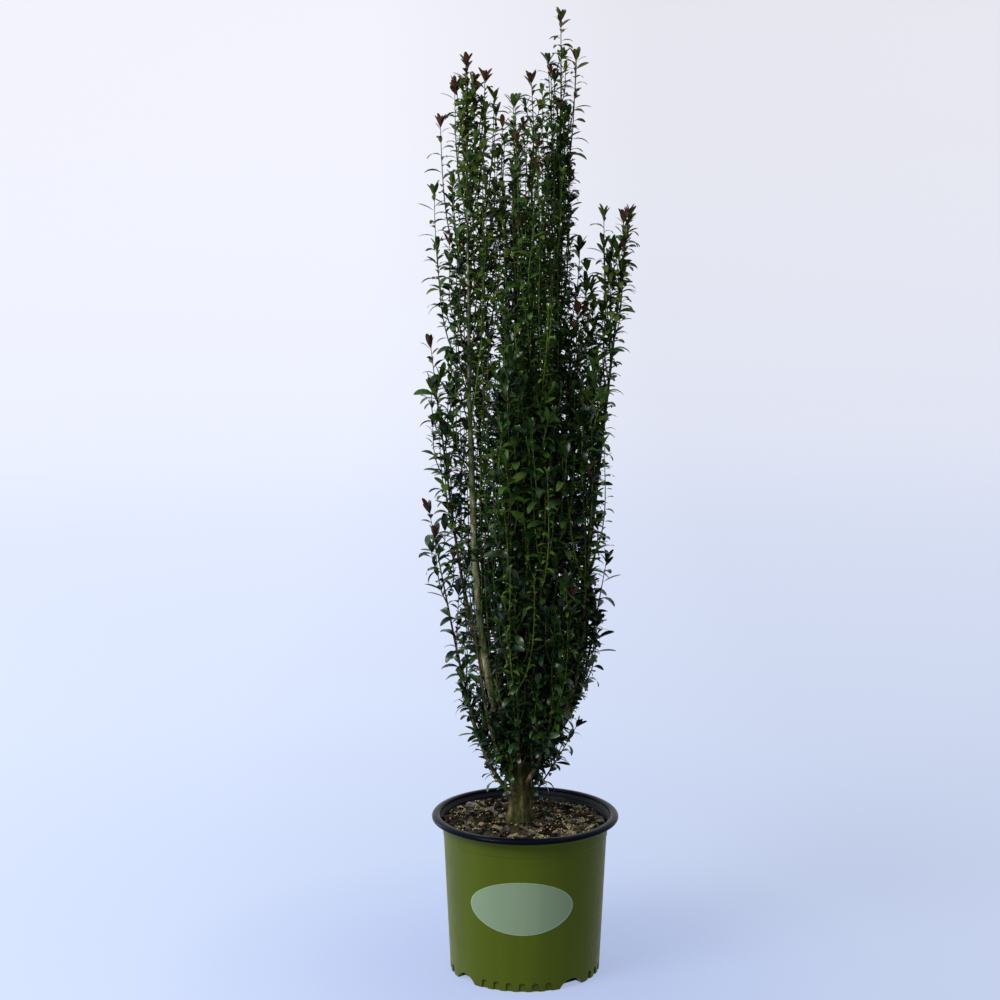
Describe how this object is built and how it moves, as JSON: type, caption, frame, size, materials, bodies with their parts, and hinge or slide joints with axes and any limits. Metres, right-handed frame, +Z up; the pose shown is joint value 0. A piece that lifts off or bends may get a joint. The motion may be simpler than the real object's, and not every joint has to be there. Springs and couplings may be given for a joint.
{
  "type": "upright japanese holly shrub in nursery pot",
  "caption": "Narrow upright small-leaved evergreen shrub standing in a round nursery pot with a rolled black rim, shown as sold with its potting mix.",
  "frame": {"origin": "centre of the pot's flat underside, on the ground", "axes": "+Z up the plant, -Y to the front that the picture shows, +X to its right"},
  "size_m": [0.3155, 0.2909, 1.419],
  "materials": {
    "pot": "olive green moulded plastic with a satin sheen",
    "pot_rim": "blue-black moulded plastic with a satin sheen",
    "potting_mix": "loose brown bark chips, dull",
    "bark": "grey-brown young bark, dull and finely ridged",
    "foliage": "dark green leathery leaves with a soft gloss, bronze at the shoot tips"
  },
  "bodies": {
    "root": {"bough_back": "bark", "bough_back_leader": "bark", "bough_back_low": "bark", "bough_centre": "bark", "bough_front": "bark", "bough_front_leader": "bark", "bough_front_low": "bark", "bough_left_back": "bark", "bough_left_back_low": "bark", "bough_left_front": "bark", "bough_left_front_low": "bark", "bough_left_leader": "bark", "bough_left_low": "bark", "bough_left_side": "bark", "bough_right_back": "bark", "bough_right_back_low": "bark", "bough_right_front": "bark", "bough_right_front_low": "bark", "bough_right_leader": "bark", "bough_right_low": "bark", "bough_right_outer_leader": "bark", "foliage_back": "foliage", "foliage_back_leader": "foliage", "foliage_back_low": "foliage", "foliage_centre": "foliage", "foliage_foot_back": "foliage", "foliage_foot_front": "foliage", "foliage_foot_left": "foliage", "foliage_foot_right": "foliage", "foliage_front": "foliage", "foliage_front_leader": "foliage", "foliage_front_low": "foliage", "foliage_left_back": "foliage", "foliage_left_back_low": "foliage", "foliage_left_front": "foliage", "foliage_left_front_low": "foliage", "foliage_left_leader": "foliage", "foliage_left_low": "foliage", "foliage_left_side": "foliage", "foliage_right_back": "foliage", "foliage_right_back_low": "foliage", "foliage_right_front": "foliage", "foliage_right_front_low": "foliage", "foliage_right_leader": "foliage", "foliage_right_low": "foliage", "foliage_right_outer_leader": "foliage", "pot": "pot", "pot_rim": "pot_rim", "soil": "potting_mix", "trunk": "bark"}
  },
  "joints": []
}
